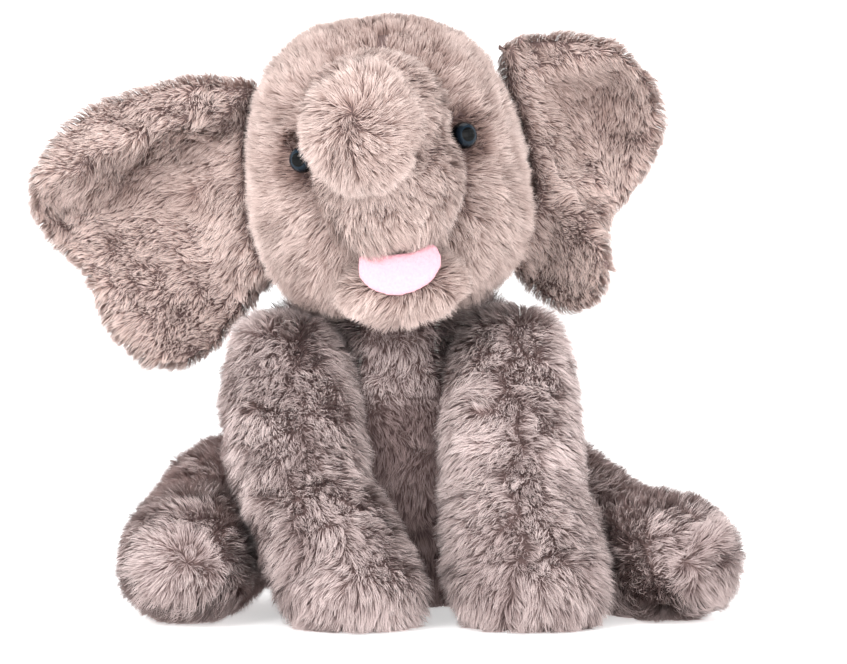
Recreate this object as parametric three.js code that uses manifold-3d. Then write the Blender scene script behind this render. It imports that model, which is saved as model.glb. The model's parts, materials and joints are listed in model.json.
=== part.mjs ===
// A sitting plush elephant: fur panels sewn into bags round loose stuffing, with floppy limbs.
// Millimetres, +Z up. The toy faces -Y, so its own right side is at -X and its left side at +X.
// The origin is on the floor, under the middle of the toy's box.
import * as THREE from "three";
import { mergeVertices } from "three/addons/utils/BufferGeometryUtils.js";
import Module from "manifold-3d";

const wasm = await Module();
wasm.setup();

// ---------------------------------------------------------------- driving dimensions

const FUR = 6; // a fur panel: backing cloth and brushed pile together
const GAP = 0.4; // between sewn pieces that touch
const LOOSE = 1; // between a skin and the stuffing in it
const TURN_GAP = 1.6; // round a limb's root, where it turns in the body
const SEAM_SHARE = 0.5; // where the seam splits a limb's bag into two panels
const OPEN_ROOT = 8; // a limb's bag is open over this much of its inner end, where it is sewn to the body

const HEAD_HALF = [61, 56, 68]; // half width, half depth, half height
const HEAD_FOOT = 132; // height of the head's lowest point, before the head leans
const HEAD = {
  centre: [-2.5, -12, HEAD_FOOT + HEAD_HALF[2]],
  half: HEAD_HALF,
  fullness: 2.6, // 2 is an ellipsoid, more is squarer
  jowls: 0.07, // how much wider the cheeks are than the brow
  roll: -8.5, // leans towards the toy's right
  yaw: -4,
  gusset: 22, // half width of the panel over the crown
};

// The rest of the face, from the head's centre, in the head's own turned frame.
const FACE = -HEAD.half[1]; // the foremost point of the head, in Y
const CHIN = -HEAD.half[2]; // its lowest point, in Z
const TRUNK = {
  root: { centre: [6, FACE - 10, CHIN + 63], half: [33, 33, 33] },
  bend: { centre: [5, FACE - 13, CHIN + 89], half: [31, 27, 31] },
  tip: { centre: [0, FACE - 47, CHIN + 87], half: [26, 26, 29] },
  rootDepth: 17, // how far its skin reaches into the ball at its root
  endCut: 18, // how far in front of the tip's middle the round end panel starts
  droop: 18, // degrees that it can hang down
  endTurn: 1.2, // how much the end panel is turned to the front
  seam: [1, 0, 0.2], // across the seam along it
};
const EYE = {
  out: 36, // from the face's middle line
  shift: 4, // of the face's middle line towards the toy's left
  up: CHIN + 77,
  radius: 6,
  flatness: 0.8, // its dome's height for its radius
  stem: 2.2,
  stemStart: 2.4, // behind the middle of the dome
  stemLength: 11,
  washer: 8.5,
  washerWall: 1.6,
  washerDrop: 2.4, // the washer is this far inside the skin
};
const LIP = { centre: [4, FACE - 1, CHIN + 15], half: [28, 19, 14], fullness: 2.1 };
const TONGUE = { centre: [5.5, FACE - 20, CHIN + 26], half: [19.5, 4, 15], lean: -18 };

const TORSO = {
  // height, half width, half depth, middle in X, middle in Y
  rings: [
    [0, 46, 46, 0, 27],
    [28, 62, 56, -1, 27],
    [58, 73, 59, -3, 26],
    [85, 75, 57, -4, 23],
    [108, 68, 48, -3, 17],
    [129, 58, 40, 0, 11],
  ],
  neck: [0, 6], // the axis that the head turns on
  neckTop: 146,
  // how far below the neck's top, and the radius there
  neckSteps: [
    [10, 36],
    [3, 24],
    [0, 13],
  ],
  neckHole: { radius: 15, length: 40 }, // left open under the head
  belly: 30, // half width of the panel down the front
};

// Limbs: each row is a middle [x, y, z], a half width and a half depth, from the body outwards.
const FORELEG = {
  right: [
    [[-47, -21, 139], 26, 25],
    [[-48, -24, 119], 29, 28],
    [[-45, -42, 92], 30, 28],
    [[-40, -54, 66], 29, 27],
    [[-35, -62, 45], 27, 29],
    [[-18, -77, 25], 39, 36],
    [[-13, -86, -16], 44, 36],
  ],
  left: [
    [[54, -21, 142], 26, 25],
    [[54, -24, 122], 29, 28],
    [[53, -42, 94], 30, 28],
    [[54, -54, 68], 30, 27],
    [[55, -61, 46], 30, 29],
    [[60, -76, 25], 43, 37],
    [[61, -86, -16], 46, 37],
  ],
  sole: 9, // height of the cut where the sole panel starts
};
const HINDLEG = {
  right: [
    [[-50, 34, 46], 36, 36],
    [[-66, 18, 44], 37, 38],
    [[-80, -12, 36], 30, 31],
    [[-87, -40, 29], 28, 29],
    [[-90, -66, 28], 32, 31],
    [[-90, -92, 26], 36, 30],
  ],
  left: [
    [[52, 34, 46], 36, 36],
    [[66, 18, 44], 36, 37],
    [[87, -9, 35], 30, 30],
    [[107, -33, 27], 27, 27],
    [[126, -55, 28], 32, 31],
    [[137, -78, 28], 34, 31],
  ],
  sole: 20, // length of the rounded end that the sole panel closes
};
const SOCKET = 4; // the ball-shaped hollow that a limb turns in is this much wider than the limb

// An ear hangs on the head's side. Its outline runs from the top of its root round to its foot. Its folds are
// lines across it: on the side that "towards" points to, the ear stands forward by "forward", and behind the
// line it drops back. Places in it are [outwards, up] from "at", which is measured from the head's centre.
const EAR = {
  panel: 6.5,
  gap: 2.6, // the thin wadding between the two panels
  rootGap: 2.6, // between the ear and the head, so that the ear can swing
  rootDepth: 14, // how far the root is carried inwards before the head is cut out of it
  flatRoot: 0.1, // the share of the ear by its root that is flat, where it swings
  rise: 0.3, // the share over which its folds and hollow then come to their full depth
  foldWidth: 12, // over which a fold drops back
  right: {
    at: [-HEAD.half[0] - 2.5, 20, -9],
    rim: [[0, 48], [26, 49], [50, 43], [74, 33], [92, 15], [98, -6], [88, -26], [72, -40], [63, -62], [45, -80],
      [23, -80], [7, -64], [-4, -43]],
    folds: [{ line: [[0, 19], [22, 20], [51, 8], [92, -16]], towards: "up", forward: 30, fade: 36 }],
    hollow: 12,
    sweep: 4,
    lobe: 14, // how far its lowest lobe stands forward
  },
  left: {
    at: [HEAD.half[0] + 5.5, 20, -1],
    rim: [[-19, 56], [6, 62], [32, 58], [50, 47], [60, 24], [56, 6], [45, -11], [35, -22], [33, -33], [34, -46],
      [29, -57], [19, -65], [7, -62], [-9, -41]],
    folds: [
      { line: [[-22, 34], [8, 36], [34, 38], [60, 34]], towards: "up", forward: 18, fade: 24 },
      { line: [[-6, 44], [4, 28], [14, 8], [26, -10], [38, -34]], towards: "down", forward: 19, fade: 70 },
    ],
    hollow: 13,
    sweep: 2,
    lobe: 6,
  },
};

const TAIL = {
  root: [0, 86, 46],
  tip: [3, 105, 17],
  radius: 6.5,
  arch: 5,
  tuft: 9.5,
  tuftEnd: 5.7, // the tuft's radius where it starts and where it ends
};
const PELLETS = { centre: [0, 26, 21], half: [34, 33, 13], fullness: 2.4 };
const SLIT = { width: 27, height: 5, length: 80 }; // the slit in the back of the stuffing for the pellet bag
const LABEL = { centre: [46, 74, 26], half: [9, 0.5, 13], turn: 32 };

const COLOURS = {
  fur: 0xa8958f,
  tongue: 0xf2b6c0,
  eye: 0x1c2a33,
  fill: 0xf2efe8,
  nylon: 0x1a1a1c,
  label: 0xf4f2ee,
};

// ---------------------------------------------------------------- geometry helpers

const rad = THREE.MathUtils.degToRad;
const vec = (p) => new THREE.Vector3(...p);
const side = (name) => (name === "right" ? -1 : 1);

// A closed three.js geometry as a solid that can be cut and joined.
function solid(geometry) {
  const bare = new THREE.BufferGeometry();
  bare.setAttribute("position", geometry.getAttribute("position"));
  bare.setIndex(geometry.index);
  const merged = mergeVertices(bare, 1e-3);
  const made = new wasm.Manifold(
    new wasm.Mesh({
      numProp: 3,
      vertProperties: new Float32Array(merged.attributes.position.array),
      triVerts: new Uint32Array(merged.index.array),
    }),
  );
  return made;
}

function geometryOf(body) {
  const { numProp, vertProperties, triVerts } = body.getMesh();
  const count = vertProperties.length / numProp;
  const places = new Float32Array(count * 3);
  for (let i = 0; i < count; i++) {
    places.set(vertProperties.subarray(i * numProp, i * numProp + 3), i * 3);
  }
  const geometry = new THREE.BufferGeometry();
  geometry.setAttribute("position", new THREE.BufferAttribute(places, 3));
  geometry.setIndex(new THREE.BufferAttribute(triVerts, 1));
  geometry.computeVertexNormals();
  return geometry;
}

// Moves every vertex of a geometry through a function of its place.
function reshape(geometry, shift) {
  const place = geometry.getAttribute("position");
  const point = new THREE.Vector3();
  for (let i = 0; i < place.count; i++) {
    shift(point.fromBufferAttribute(place, i));
    place.setXYZ(i, point.x, point.y, point.z);
  }
  return geometry;
}

// The larger of the separate bodies that a cut may leave.
function largest(body) {
  const parts = body.decompose();
  return parts.reduce((best, part) => (part.volume() > best.volume() ? part : best));
}

// An ellipsoid, squarer than a sphere when its fullness is over 2.
function ellipsoid(centre, half, fullness = 2, sides = 20, rings = 12) {
  const ball = new THREE.SphereGeometry(1, sides, rings);
  ball.rotateX(Math.PI / 2);
  reshape(ball, (p) => {
    const sum = Math.abs(p.x) ** fullness + Math.abs(p.y) ** fullness + Math.abs(p.z) ** fullness;
    p.multiplyScalar(sum ** (-1 / fullness));
    p.multiply(vec(half)).add(vec(centre));
  });
  return solid(ball);
}

// The value at t (0 to 1) of a list of numbers, by a smooth curve through them.
function along(values, t) {
  const curve = new THREE.SplineCurve(values.map((v, i) => new THREE.Vector2(i, v)));
  return curve.getPoint(t).y;
}

// A stuffed tube through rows of [middle, half width, half depth]. inset makes the same form smaller all round.
// It starts at row 0 and closes with blunt ends.
function tube(rows, inset = 0, sides = 14, rings = 9) {
  const spine = new THREE.CatmullRomCurve3(rows.map(([at]) => vec(at)));
  const length = spine.getLength();
  const bluntness = 0.62; // under 1 makes the ends fuller than an ellipsoid's
  const profile = [];
  for (let i = 0; i <= rings; i++) {
    const turn = (Math.PI * i) / rings;
    profile.push(new THREE.Vector2(Math.sin(turn) ** bluntness, (1 - Math.cos(turn)) / 2));
  }
  profile[0].x = 0;
  profile[rings].x = 0;
  const lathe = new THREE.LatheGeometry(profile, sides);
  reshape(lathe, (p) => {
    const t = THREE.MathUtils.clamp(THREE.MathUtils.lerp(inset / length, 1 - inset / length, p.y), 0, 1);
    const middle = spine.getPoint(t);
    const forward = spine.getTangent(t);
    const across = new THREE.Vector3(1, 0, 0);
    across.addScaledVector(forward, -across.dot(forward)).normalize();
    const up = new THREE.Vector3().crossVectors(forward, across);
    const width = along(rows.map((row) => row[1]), t) - inset;
    const depth = along(rows.map((row) => row[2]), t) - inset;
    p.set(
      ...middle
        .addScaledVector(across, p.x * width)
        .addScaledVector(up, p.z * depth)
        .toArray(),
    );
    p.z = Math.max(p.z, inset);
  });
  return upright(lathe);
}

// A solid of a closed geometry whose faces may all look inwards.
function upright(geometry) {
  const made = solid(geometry);
  return made.volume() > 0 ? made : solid(flipped(geometry));
}

function flipped(geometry) {
  const index = geometry.index.array;
  for (let i = 0; i < index.length; i += 3) {
    [index[i + 1], index[i + 2]] = [index[i + 2], index[i + 1]];
  }
  return geometry;
}

// Cuts a body by the plane through a point, and gives [the part ahead of the normal, the part behind it],
// with the sewing gap between them.
function cut(body, point, normal) {
  const n = vec(normal).normalize();
  const offset = n.dot(vec(point));
  const ahead = body.trimByPlane(n.toArray(), offset + GAP / 2);
  const behind = body.trimByPlane(n.clone().negate().toArray(), -offset + GAP / 2);
  return [ahead, behind];
}

// ---------------------------------------------------------------- materials and nodes

const finish = (color, roughness) => new THREE.MeshStandardMaterial({ color, roughness, metalness: 0 });
const MATERIALS = {
  fur: finish(COLOURS.fur, 0.95),
  tongue: finish(COLOURS.tongue, 0.9),
  eye: finish(COLOURS.eye, 0.15),
  fill: finish(COLOURS.fill, 1),
  nylon: finish(COLOURS.nylon, 0.5),
  label: finish(COLOURS.label, 0.8),
};

function node(group, name, body, material) {
  const mesh = new THREE.Mesh(geometryOf(body), MATERIALS[material]);
  mesh.name = name;
  group.add(mesh);
  return mesh;
}

// ---------------------------------------------------------------- limbs

// A limb's bag of two fur panels and a sole, open where it is sewn to the body, and its stuffing.
function limb(group, name, rows, seamNormal, sole, opening) {
  const outer = tube(rows);
  const inner = tube(rows, FUR);
  const skin = outer.subtract(inner);
  const [soleBody, leg] = cut(skin, sole.point, sole.normal);
  const sleeve = leg.trimByPlane(vec(opening.normal).normalize().toArray(), opening.offset);
  const middle = rows[Math.floor(rows.length * SEAM_SHARE)][0];
  const [outside, inside] = cut(sleeve, middle, seamNormal);
  node(group, `${name}_outer_panel`, largest(outside), "fur");
  node(group, `${name}_inner_panel`, largest(inside), "fur");
  node(group, `${name}_sole`, largest(soleBody), "fur");
  node(group, `${name}_stuffing`, tube(rows, FUR + LOOSE), "fill");
}

function planeAt(point, normal) {
  return vec(normal).normalize().dot(vec(point));
}

const toy = new THREE.Group();

for (const name of ["right", "left"]) {
  const rows = FORELEG[name];
  const foot = rows[rows.length - 1][0];
  const topNormal = [0, 0, -1];
  const opening = { normal: topNormal, offset: planeAt([0, 0, rows[0][0][2] - OPEN_ROOT], topNormal) };
  limb(toy, `${name}_foreleg`, rows, [side(name), 0, 0], {
    point: [foot[0], foot[1], FORELEG.sole],
    normal: [0, 0, -1],
  }, opening);
}

for (const name of ["right", "left"]) {
  const rows = HINDLEG[name];
  const [hip, , , , ankle, toe] = rows.map(([at]) => vec(at));
  const ahead = toe.clone().sub(ankle).setZ(0).normalize();
  const start = toe.clone().addScaledVector(ahead, -HINDLEG.sole);
  const outward = vec([side(name), 0, 0]);
  const rootNormal = toe.clone().sub(hip).setZ(0).normalize();
  const opening = {
    normal: rootNormal.toArray(),
    offset: planeAt(hip.clone().addScaledVector(rootNormal, OPEN_ROOT).toArray(), rootNormal.toArray()),
  };
  const up = vec([0, 0, 1]);
  const seamNormal = outward.cross(up).cross(ahead).setX(side(name));
  limb(toy, `${name}_hindleg`, rows, seamNormal.toArray(), {
    point: start.toArray(),
    normal: ahead.toArray(),
  }, opening);
}

// ---------------------------------------------------------------- torso

// The pear-shaped body, level ring by level ring, with a round neck on the axis that the head turns on.
function torsoForm(inset = 0, sides = 20) {
  const { neckTop } = TORSO;
  const rows = torsoRows();
  const profile = [new THREE.Vector2(0, 0)];
  rows.forEach((row, i) => profile.push(new THREE.Vector2(1, i)));
  profile.push(new THREE.Vector2(0, rows.length - 1));
  const lathe = new THREE.LatheGeometry(profile, sides);
  reshape(lathe, (p) => {
    const [height, width, depth, middleX, middleY] = rows[Math.round(p.y)];
    const z = THREE.MathUtils.clamp(height, inset, neckTop - inset);
    p.set(middleX + p.x * (width - inset), middleY + p.z * (depth - inset), z);
  });
  return upright(lathe);
}

// The torso's rings with the steps of the neck on top.
function torsoRows() {
  const { rings, neck, neckTop, neckSteps } = TORSO;
  return [...rings, ...neckSteps.map(([below, radius]) => [neckTop - below, radius, radius, ...neck])];
}

function ball(centre, radius) {
  return ellipsoid(centre, [radius, radius, radius], 2, 16, 10);
}

// Everything that turns in the torso's skin and stuffing, with room to turn.
const sockets = [];
for (const name of ["right", "left"]) {
  for (const rows of [FORELEG[name], HINDLEG[name]]) {
    const [pivot, halfWidth] = rows[1];
    sockets.push(ball(pivot, halfWidth + SOCKET + TURN_GAP));
    sockets.push(tube(rows, -TURN_GAP));
  }
}
const roomForLimbs = sockets.reduce((all, one) => all.add(one));

const torsoSkin = torsoForm().subtract(torsoForm(FUR)).subtract(roomForLimbs);
const neckHole = new THREE.CylinderGeometry(TORSO.neckHole.radius, TORSO.neckHole.radius, TORSO.neckHole.length, 20);
neckHole.rotateX(Math.PI / 2).translate(TORSO.neck[0], TORSO.neck[1], TORSO.neckTop);
const openSkin = torsoSkin.subtract(solid(neckHole));
const [beyond, rightSide] = cut(openSkin, [-TORSO.belly, 0, 0], [1, 0, 0]);
const [leftSide, middle] = cut(beyond, [TORSO.belly, 0, 0], [1, 0, 0]);
const [back, front] = cut(middle, [0, TORSO.neck[1], 0], [0, 1, 0]);
node(toy, "torso_right_panel", largest(rightSide), "fur");
node(toy, "torso_left_panel", largest(leftSide), "fur");
node(toy, "torso_belly_panel", largest(front), "fur");
node(toy, "torso_back_panel", largest(back), "fur");

function pellets(extra) {
  const half = PELLETS.half.map((h) => h + extra);
  return ellipsoid(PELLETS.centre, half, PELLETS.fullness, 16, 10);
}
const slit = new THREE.BoxGeometry(SLIT.width, SLIT.length, SLIT.height);
slit.translate(0, PELLETS.centre[1] + SLIT.length / 2, PELLETS.centre[2]);
const pelletRoom = pellets(GAP).add(solid(slit));
const torsoFill = torsoForm(FUR + LOOSE).subtract(roomForLimbs).subtract(pelletRoom);
node(toy, "pellet_bag", pellets(0), "fill");
node(toy, "torso_stuffing", largest(torsoFill), "fill");

// ---------------------------------------------------------------- head

const head = new THREE.Group();
head.position.set(...HEAD.centre);
head.rotation.set(0, rad(HEAD.roll), rad(HEAD.yaw), "ZYX");
head.updateMatrix();
toy.add(head);
const intoHead = head.matrix.clone().invert();

const headForm = (inset = 0) =>
  ellipsoid([0, 0, 0], HEAD.half.map((h) => h - inset), HEAD.fullness, 20, 12).warp((p) => {
    p[0] *= 1 - (HEAD.jowls * p[2]) / HEAD.half[2];
  });

// What the torso needs cleared out of the head: round the neck's axis, as wide as the torso reaches from it.
function neckCutter() {
  const { neck, neckTop } = TORSO;
  const profile = [new THREE.Vector2(0, 0)];
  for (const [height, width, depth, x, y] of torsoRows()) {
    const reach = Math.max(width + Math.abs(x - neck[0]), depth + Math.abs(y - neck[1]));
    profile.push(new THREE.Vector2(reach + TURN_GAP, height + TURN_GAP));
  }
  profile.push(new THREE.Vector2(0, neckTop + TURN_GAP));
  const cutter = new THREE.LatheGeometry(profile, 24);
  cutter.rotateX(Math.PI / 2).translate(neck[0], neck[1], 0);
  return upright(cutter);
}
const neckRoom = neckCutter().transform(intoHead.elements);
const trunkRoom = ellipsoid(TRUNK.root.centre, TRUNK.root.half.map((h) => h + TURN_GAP), 2, 16, 10);

// The flat spot on the head's skin where an eye sits, and the direction that it looks in.
function eyeSeat(sign) {
  const { fullness, half } = HEAD;
  const out = sign * EYE.out + EYE.shift;
  const rest = 1 - Math.abs(out / half[0]) ** fullness - Math.abs(EYE.up / half[2]) ** fullness;
  const point = new THREE.Vector3(out, -half[1] * rest ** (1 / fullness), EYE.up);
  const slope = (v, h) => (Math.sign(v) * Math.abs(v / h) ** (fullness - 1)) / h;
  const normal = new THREE.Vector3(slope(point.x, half[0]), slope(point.y, half[1]), slope(point.z, half[2]));
  return { point, normal: normal.normalize() };
}

function placedAt(geometry, point, direction) {
  const turn = new THREE.Quaternion().setFromUnitVectors(new THREE.Vector3(0, 1, 0), direction);
  geometry.applyQuaternion(turn).translate(point.x, point.y, point.z);
  return solid(geometry);
}

const headCuts = [neckRoom, trunkRoom];
const eyeRooms = [];
const eyes = {};
for (const name of ["right", "left"]) {
  const { point, normal } = eyeSeat(side(name));
  const stemLength = 2 * (EYE.stemLength + EYE.radius);
  const stemRoom = new THREE.CylinderGeometry(EYE.stem + GAP, EYE.stem + GAP, stemLength, 8);
  headCuts.push(placedAt(stemRoom, point, normal));
  const dome = new THREE.SphereGeometry(EYE.radius + GAP, 12, 8);
  eyeRooms.push(placedAt(dome, point, normal));
  eyes[name] = { point, normal };
}
const eyeRoom = eyeRooms[0].add(eyeRooms[1]);
const headRoom = headCuts.reduce((all, one) => all.add(one)).add(eyeRoom);

const headSkin = headForm().subtract(headForm(FUR)).subtract(headRoom);
const [faceRest, faceRight] = cut(headSkin, [-HEAD.gusset, 0, 0], [1, 0, 0]);
const [faceLeft, gusset] = cut(faceRest, [HEAD.gusset, 0, 0], [1, 0, 0]);
node(head, "head_right_panel", largest(faceRight), "fur");
node(head, "head_left_panel", largest(faceLeft), "fur");
node(head, "head_crown_gusset", largest(gusset), "fur");

// Eyes: a domed button whose stem goes through the skin and takes a push-on washer inside.
const washerRooms = [];
for (const name of ["right", "left"]) {
  const { point, normal } = eyes[name];
  const button = new THREE.SphereGeometry(EYE.radius, 14, 8);
  button.scale(1, EYE.flatness, 1);
  const stem = new THREE.CylinderGeometry(EYE.stem, EYE.stem, EYE.stemLength, 8);
  stem.translate(0, -EYE.stemLength / 2 - EYE.stemStart, 0);
  const eye = placedAt(button, point, normal).add(placedAt(stem, point, normal));
  node(head, `${name}_eye`, eye, "eye");
  const washerAt = -FUR - EYE.washerWall - EYE.washerDrop;
  const ring = (radius, wall) => {
    const disc = new THREE.CylinderGeometry(radius, radius, wall, 12);
    disc.translate(0, washerAt, 0);
    return placedAt(disc, point, normal);
  };
  const washer = ring(EYE.washer, EYE.washerWall).subtract(ring(EYE.stem + GAP / 2, 2 * EYE.washerWall));
  node(head, `${name}_eye_washer`, washer, "nylon");
  washerRooms.push(ring(EYE.washer + GAP, EYE.washerWall + 2 * GAP));
}
const washerRoom = washerRooms.reduce((all, one) => all.add(one));

// ---------------------------------------------------------------- trunk, lip and tongue

const tipAxis = vec(TRUNK.tip.centre).sub(vec(TRUNK.root.centre)).normalize();
tipAxis.add(new THREE.Vector3(0, -TRUNK.endTurn, 0)).normalize();
const trunkBall = ({ centre, half }, inset) => ellipsoid(centre, half.map((h) => h - inset), 2, 16, 10);
const trunkForm = (inset = 0) =>
  trunkBall(TRUNK.root, inset).add(trunkBall(TRUNK.bend, inset)).add(trunkBall(TRUNK.tip, inset));
// The room that the eyes need in the trunk, over the whole of its droop.
function eyeSweep() {
  const steps = 4;
  const [x, y, z] = TRUNK.root.centre;
  const rooms = [];
  for (let i = 0; i < steps; i++) {
    const droop = (-TRUNK.droop * i) / (steps - 1);
    rooms.push(eyeRoom.translate([-x, -y, -z]).rotate([droop, 0, 0]).translate([x, y, z]));
  }
  return rooms.reduce((all, one) => all.add(one));
}
const awayFromFace = headForm(-TURN_GAP).subtract(trunkBall(TRUNK.root, -GAP));
const trunkSkin = trunkForm().subtract(trunkForm(FUR));
const rootCut = TRUNK.root.centre[1] + TRUNK.root.half[1] - TRUNK.rootDepth;
const openTrunk = trunkSkin.trimByPlane([0, -1, 0], -rootCut).subtract(awayFromFace).subtract(eyeSweep());
const endPoint = vec(TRUNK.tip.centre).addScaledVector(tipAxis, TRUNK.endCut);
const [trunkEnd, trunkSleeve] = cut(openTrunk, endPoint.toArray(), tipAxis.toArray());
const [trunkLeft, trunkRight] = cut(trunkSleeve, TRUNK.root.centre, TRUNK.seam);
node(head, "trunk_right_panel", largest(trunkRight), "fur");
node(head, "trunk_left_panel", largest(trunkLeft), "fur");
node(head, "trunk_end_panel", largest(trunkEnd), "fur");
node(head, "trunk_stuffing", largest(trunkForm(FUR + LOOSE).subtract(awayFromFace)), "fill");

const tongueBody = (extra) => {
  const pad = new THREE.SphereGeometry(1, 20, 12);
  pad.scale(...TONGUE.half.map((h) => h + extra));
  pad.rotateX(rad(TONGUE.lean)).translate(...TONGUE.centre);
  return solid(pad);
};
const lip = ellipsoid(LIP.centre, LIP.half, LIP.fullness, 18, 10)
  .subtract(headForm(-GAP))
  .subtract(trunkRoom)
  .subtract(tongueBody(GAP));
node(head, "lower_lip", largest(lip), "fur");
node(head, "tongue", largest(tongueBody(0).subtract(headForm(-GAP)).subtract(trunkRoom)), "tongue");
const headFill = headForm(FUR + LOOSE).subtract(headRoom).subtract(washerRoom);
node(head, "head_stuffing", largest(headFill), "fill");

// ---------------------------------------------------------------- ears

// The height of a fold's line over a place across the ear. Past its ends the line goes straight on.
function lineAt(line, out) {
  const passed = line.filter(([x]) => x <= out).length;
  const start = THREE.MathUtils.clamp(passed - 1, 0, line.length - 2);
  const [[x0, z0], [x1, z1]] = [line[start], line[start + 1]];
  return THREE.MathUtils.lerp(z0, z1, (out - x0) / (x1 - x0));
}

// How far a place in the ear lies behind the head's middle, by its folds, its hollow and its lobe.
function earDepth(ear, out, up, u, v) {
  const lobe = ear.lobe * u * Math.sin(Math.PI * THREE.MathUtils.clamp(2 * v - 1, 0, 1));
  const beyondRoot = THREE.MathUtils.smoothstep(u, EAR.flatRoot, EAR.flatRoot + EAR.rise);
  let depth = ear.sweep * u + ear.hollow * Math.sin(Math.PI * u) * beyondRoot - lobe;
  for (const { line, towards, forward, fade } of ear.folds) {
    const past = (up - lineAt(line, out)) * (towards === "up" ? 1 : -1);
    const raised = THREE.MathUtils.smoothstep(past, 0, EAR.foldWidth);
    const kept = 1 - THREE.MathUtils.clamp((past - EAR.foldWidth) / fade, 0, 1);
    depth -= forward * raised * kept * beyondRoot;
  }
  return depth;
}

// One fur panel of an ear: a box whose two large faces follow the ear's folded surface. The face at "inner"
// is split into triangles the same way in both panels, so that the wadding between them stays even.
function earPanel(name, outer, inner) {
  const ear = EAR[name];
  const sheet = new THREE.BoxGeometry(1, 1, 1, 10, 1, 16);
  const rim = new THREE.CatmullRomCurve3(ear.rim.map(([out, up]) => new THREE.Vector3(out, 0, up)));
  const top = ear.rim[0];
  const foot = ear.rim[ear.rim.length - 1];
  reshape(sheet, (p) => {
    const u = p.x + 0.5;
    const v = 0.5 - p.z;
    const layer = THREE.MathUtils.lerp(outer, inner, p.y + 0.5);
    const root = new THREE.Vector3(-EAR.rootDepth, 0, THREE.MathUtils.lerp(top[1], foot[1], v));
    const spot = root.lerp(rim.getPoint(v), u);
    p.set(side(name) * spot.x, earDepth(ear, spot.x, spot.z, u, v) + layer, spot.z);
  });
  return upright(sheet);
}

for (const name of ["right", "left"]) {
  const ear = new THREE.Group();
  ear.position.copy(vec(HEAD.centre).add(vec(EAR[name].at)));
  ear.updateMatrix();
  toy.add(ear);
  const intoEar = ear.matrix.clone().invert().multiply(head.matrix);
  const headByEar = headForm(-EAR.rootGap).transform(intoEar.elements);
  const front = earPanel(name, -EAR.panel, -EAR.gap / 2);
  const back = earPanel(name, EAR.panel, EAR.gap / 2);
  node(ear, `${name}_ear_front`, largest(front.subtract(headByEar)), "fur");
  node(ear, `${name}_ear_back`, largest(back.subtract(headByEar)), "fur");
}

// ---------------------------------------------------------------- tail and label

const tailRoot = vec(TAIL.root);
const tailTip = vec(TAIL.tip);
const tailRows = [0, 0.35, 0.7, 1].map((t) => {
  const at = tailRoot.clone().lerp(tailTip, t);
  at.y += TAIL.arch * Math.sin(Math.PI * t);
  return [at.toArray(), TAIL.radius, TAIL.radius];
});
const tuftRows = [
  [0.62, TAIL.tuftEnd],
  [0.8, TAIL.tuft],
  [1.2, TAIL.tuftEnd],
].map(([t, radius]) => [tailRoot.clone().lerp(tailTip, t).toArray(), radius, radius]);
const tuftForm = (inset) => tube(tuftRows, inset, 12, 8);
const tail = tube(tailRows, 0, 12, 8).subtract(tuftForm(-GAP)).subtract(torsoForm(-TURN_GAP));
node(toy, "tail", largest(tail), "fur");
node(toy, "tail_tuft", tuftForm(0), "fur");

const label = new THREE.BoxGeometry(...LABEL.half.map((h) => 2 * h));
label.rotateZ(rad(LABEL.turn)).translate(...LABEL.centre);
node(toy, "care_label", largest(solid(label).subtract(torsoForm(-GAP))), "label");

// The origin is under the middle of the whole toy's box.
const box = new THREE.Box3().setFromObject(toy, true);
const middleOfBox = box.getCenter(new THREE.Vector3());
toy.position.set(-middleOfBox.x, -middleOfBox.y, -box.min.z);

export default toy;
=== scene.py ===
# %% [markdown]
# # A sitting plush elephant
# The toy is a set of sewn bags of long-pile fur, stuffed with fibre. The frame gives every bag's
# place, size and joints. This script adds what cloth and fur do: soft skins, tens of thousands of
# hairs combed into tufts, glossy eyes, a short-pile tongue, and a plain studio round it.

# %% Load the frame
import json
import math

import bmesh
import bpy
import numpy as np
from mathutils import Matrix, Vector
from mathutils.bvhtree import BVHTree
from mathutils.kdtree import KDTree

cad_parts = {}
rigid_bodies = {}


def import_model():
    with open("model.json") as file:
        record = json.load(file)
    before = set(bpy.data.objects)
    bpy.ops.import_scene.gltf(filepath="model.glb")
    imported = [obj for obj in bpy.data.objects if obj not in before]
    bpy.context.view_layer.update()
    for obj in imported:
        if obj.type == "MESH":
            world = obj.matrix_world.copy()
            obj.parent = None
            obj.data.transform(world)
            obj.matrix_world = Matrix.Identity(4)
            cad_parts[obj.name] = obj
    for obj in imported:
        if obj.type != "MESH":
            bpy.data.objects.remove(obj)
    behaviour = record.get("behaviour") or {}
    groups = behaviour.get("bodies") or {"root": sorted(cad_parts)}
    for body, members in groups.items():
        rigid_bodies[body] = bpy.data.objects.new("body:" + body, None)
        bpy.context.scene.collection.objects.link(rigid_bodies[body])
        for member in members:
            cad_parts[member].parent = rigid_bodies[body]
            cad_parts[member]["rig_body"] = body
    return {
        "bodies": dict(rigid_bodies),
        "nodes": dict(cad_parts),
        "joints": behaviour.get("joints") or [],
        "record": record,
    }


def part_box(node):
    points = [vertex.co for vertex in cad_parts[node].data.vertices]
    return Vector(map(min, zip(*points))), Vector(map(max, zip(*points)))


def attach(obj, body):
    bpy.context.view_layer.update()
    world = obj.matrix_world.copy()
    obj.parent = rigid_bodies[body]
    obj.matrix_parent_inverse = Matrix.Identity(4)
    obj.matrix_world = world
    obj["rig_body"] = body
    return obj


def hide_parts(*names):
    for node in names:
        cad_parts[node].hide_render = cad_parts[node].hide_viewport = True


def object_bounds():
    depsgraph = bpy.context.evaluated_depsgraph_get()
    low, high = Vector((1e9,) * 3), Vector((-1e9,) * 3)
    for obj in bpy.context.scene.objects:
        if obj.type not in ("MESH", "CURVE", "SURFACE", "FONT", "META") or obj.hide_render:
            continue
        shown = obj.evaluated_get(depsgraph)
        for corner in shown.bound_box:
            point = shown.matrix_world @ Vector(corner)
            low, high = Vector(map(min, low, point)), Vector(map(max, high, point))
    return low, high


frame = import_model()
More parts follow.
